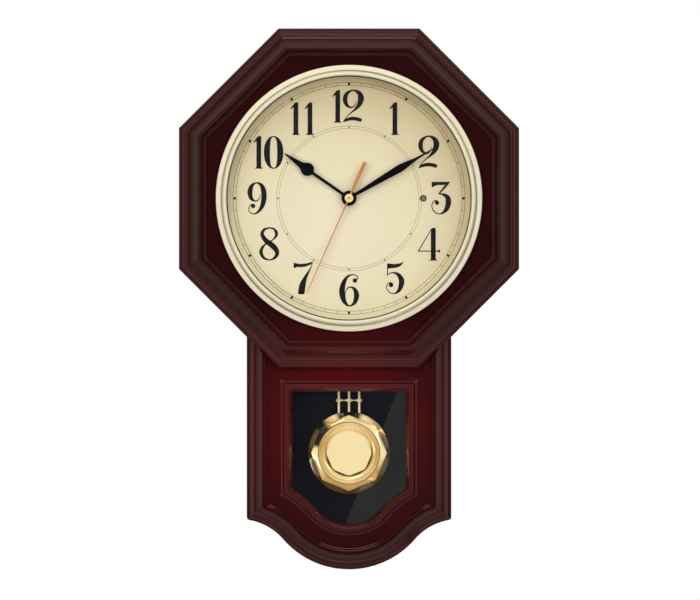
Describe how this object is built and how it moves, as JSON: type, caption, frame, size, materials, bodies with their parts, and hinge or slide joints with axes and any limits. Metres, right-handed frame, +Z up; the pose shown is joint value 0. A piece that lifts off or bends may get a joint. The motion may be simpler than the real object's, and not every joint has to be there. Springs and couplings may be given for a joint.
{
  "type": "wall clock",
  "caption": "Octagonal wall clock with a round glazed dial, three hands, a geared quartz movement and a swinging pendulum in a lower case with a window.",
  "frame": {"origin": "mouth of the keyhole, in the plane of the wall", "axes": "+Z up, +Y into the wall, the dial faces -Y"},
  "size_m": [0.314, 0.0635, 0.4998],
  "materials": {
    "walnut_case": "glossy dark red-brown, wood look",
    "black_shell": "fine matt",
    "pale_gold": "polished pale gold plating",
    "dial_print": "cream with black print",
    "clear_glass": "clear",
    "sensor": "dark rim, brown cell",
    "movement_black": "moulded",
    "wheel_plastic": "natural moulded",
    "knob_plastic": "moulded",
    "steel": "bright",
    "magnet": "sintered",
    "copper_wire": "enamelled winding",
    "board": "solder mask",
    "brass": "polished",
    "rubber_black": "soft",
    "hand_black": "satin black paint",
    "hand_copper": "satin copper paint",
    "cell_wrap": "plain printed sleeve",
    "bright_gold": "polished gold plating",
    "cone_paper": "pressed paper",
    "wire_sleeve": "soft insulation"
  },
  "bodies": {
    "case": {"octagon_frame": "walnut_case", "lower_case_frame": "walnut_case", "head_back_shell": "black_shell", "case_back_shell": "black_shell", "case_screws": "steel", "bezel_ring": "pale_gold", "bezel_clips": "steel", "dial_plate": "dial_print", "dial_glass": "clear_glass", "window_glass": "clear_glass", "light_sensor": "sensor", "movement_front_case": "movement_black", "movement_rear_case": "movement_black", "movement_middle_plate": "wheel_plastic", "stator": "steel", "motor_coil": "copper_wire", "movement_board": "board", "quartz_crystal": "steel", "movement_cell": "cell_wrap", "cell_contacts": "steel", "bush_washer": "rubber_black", "bush_nut": "brass", "hanger_pin": "steel", "drive_coil": "copper_wire", "speaker_basket": "steel", "speaker_cone": "cone_paper", "speaker_magnet": "magnet", "speaker_screws": "steel", "melody_case": "black_shell", "melody_board": "board", "melody_cells": "cell_wrap", "melody_cell_springs": "steel", "sensor_lead": "wire_sleeve", "speaker_lead": "wire_sleeve"},
    "second_train": {"second_wheel": "wheel_plastic", "second_hand": "hand_copper", "hand_cap": "brass"},
    "minute_train": {"centre_wheel": "wheel_plastic", "minute_hand": "hand_black"},
    "hour_train": {"hour_wheel": "wheel_plastic", "hour_hand": "hand_black"},
    "rotor": {"rotor": "magnet"},
    "intermediate_wheel": {"intermediate_wheel": "wheel_plastic"},
    "third_wheel": {"third_wheel": "wheel_plastic"},
    "minute_wheel": {"minute_wheel": "wheel_plastic"},
    "setting_knob": {"setting_knob": "knob_plastic"},
    "pendulum": {"pendulum_hanger": "wheel_plastic", "hanger_magnet": "magnet", "pendulum_rod": "brass", "gridiron_bar": "bright_gold", "gridiron_collar": "bright_gold", "gridiron_rods": "bright_gold", "bob_shell": "bright_gold", "bob_back": "bright_gold", "bob_disc": "bright_gold"},
    "sound_switch": {"sound_switch": "wheel_plastic"},
    "tune_button": {"tune_button": "knob_plastic"}
  },
  "joints": [
    {"name": "second_hand_spin", "type": "hinge", "parent": "case", "child": "second_train", "pos_m": [0, -0.0371, -0.118], "axis": [0, 1, 0], "continuous": true},
    {"name": "minute_hand_spin", "type": "hinge", "parent": "case", "child": "minute_train", "pos_m": [0, -0.0371, -0.118], "axis": [0, 1, 0], "continuous": true},
    {"name": "hour_hand_spin", "type": "hinge", "parent": "case", "child": "hour_train", "pos_m": [0, -0.0371, -0.118], "axis": [0, 1, 0], "continuous": true},
    {"name": "rotor_spin", "type": "hinge", "parent": "case", "child": "rotor", "pos_m": [0.01678, -0.0371, -0.10518], "axis": [0, 1, 0], "continuous": true},
    {"name": "intermediate_spin", "type": "hinge", "parent": "case", "child": "intermediate_wheel", "pos_m": [0.00743, -0.0371, -0.11058], "axis": [0, 1, 0], "continuous": true},
    {"name": "third_wheel_spin", "type": "hinge", "parent": "case", "child": "third_wheel", "pos_m": [-0.0106, -0.0371, -0.11188], "axis": [0, 1, 0], "continuous": true},
    {"name": "minute_wheel_spin", "type": "hinge", "parent": "case", "child": "minute_wheel", "pos_m": [0.01217, -0.0371, -0.11474], "axis": [0, 1, 0], "continuous": true},
    {"name": "setting_knob_spin", "type": "hinge", "parent": "case", "child": "setting_knob", "pos_m": [0.01975, -0.0371, -0.1248], "axis": [0, 1, 0], "continuous": true},
    {"name": "pendulum_swing", "type": "hinge", "parent": "case", "child": "pendulum", "pos_m": [0, -0.022, -0.155], "axis": [0, 1, 0], "range_deg": [-8, 8]},
    {"name": "sound_switch_slide", "type": "slide", "parent": "case", "child": "sound_switch", "axis": [1, 0, 0], "range_m": [0, 0.003]},
    {"name": "tune_button_press", "type": "slide", "parent": "case", "child": "tune_button", "axis": [0, -1, 0], "range_m": [0, 0.001], "stiffness_N_per_m": 600, "springref_m": -0.0008}
  ],
  "couplings": [
    {"joint": "intermediate_spin", "follows": "second_hand_spin", "ratio": -6},
    {"joint": "rotor_spin", "follows": "second_hand_spin", "ratio": 30},
    {"joint": "third_wheel_spin", "follows": "second_hand_spin", "ratio": -0.13333},
    {"joint": "minute_hand_spin", "follows": "second_hand_spin", "ratio": 0.016667},
    {"joint": "minute_wheel_spin", "follows": "second_hand_spin", "ratio": -0.0055556},
    {"joint": "hour_hand_spin", "follows": "second_hand_spin", "ratio": 0.0013889},
    {"joint": "setting_knob_spin", "follows": "second_hand_spin", "ratio": 0.016667}
  ]
}
